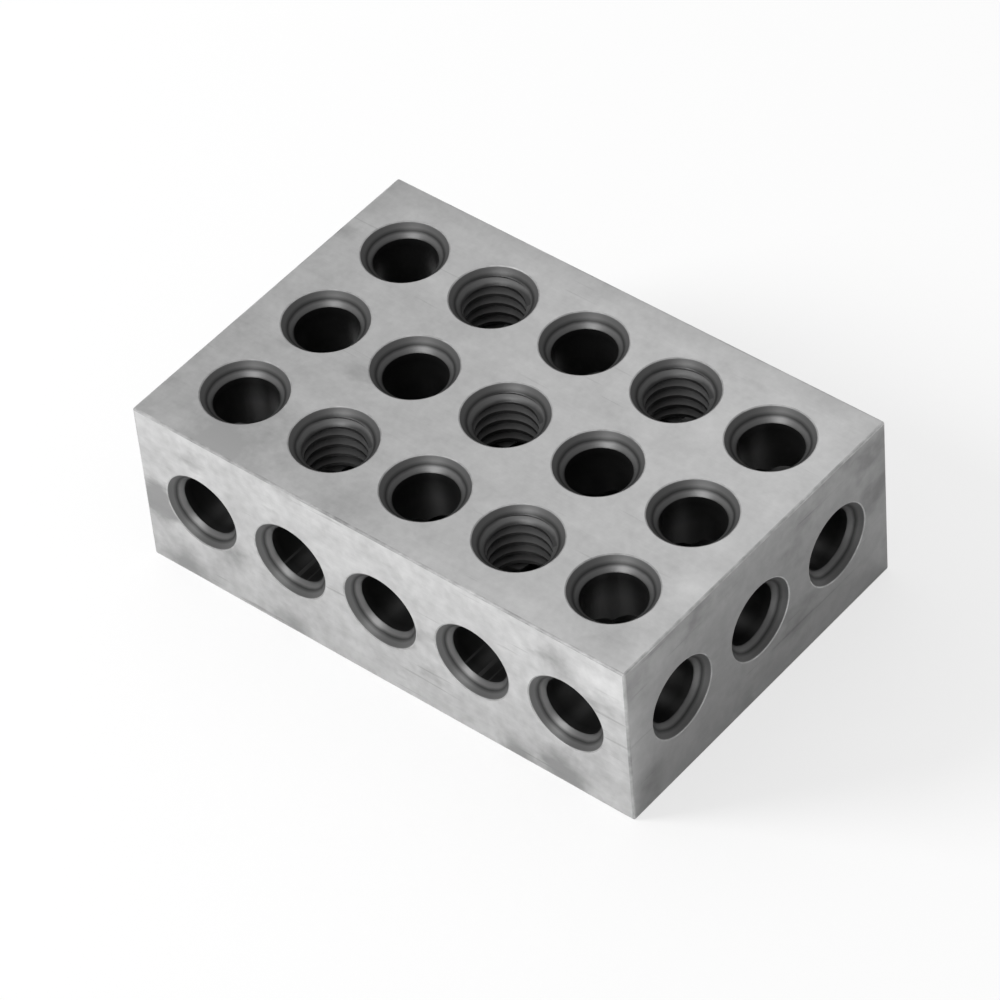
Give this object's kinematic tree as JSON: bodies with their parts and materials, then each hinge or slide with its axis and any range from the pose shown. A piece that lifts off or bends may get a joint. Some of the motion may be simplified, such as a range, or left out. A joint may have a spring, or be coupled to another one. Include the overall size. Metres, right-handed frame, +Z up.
{
  "type": "setup block",
  "caption": "Hardened steel setup block, ground square, with a grid of plain and tapped through holes crossed by further holes from the sides and ends.",
  "frame": {"origin": "middle of the underside, the large face that the block lies on", "axes": "+X along the length, +Y along the width, +Z up through the thickness"},
  "size_m": [0.0762, 0.0508, 0.0254],
  "materials": {
    "ground_steel": "surface-ground hardened steel, satin, with dark heat-treatment scale inside the holes"
  },
  "bodies": {
    "root": {"setup_block": "ground_steel"}
  },
  "joints": []
}
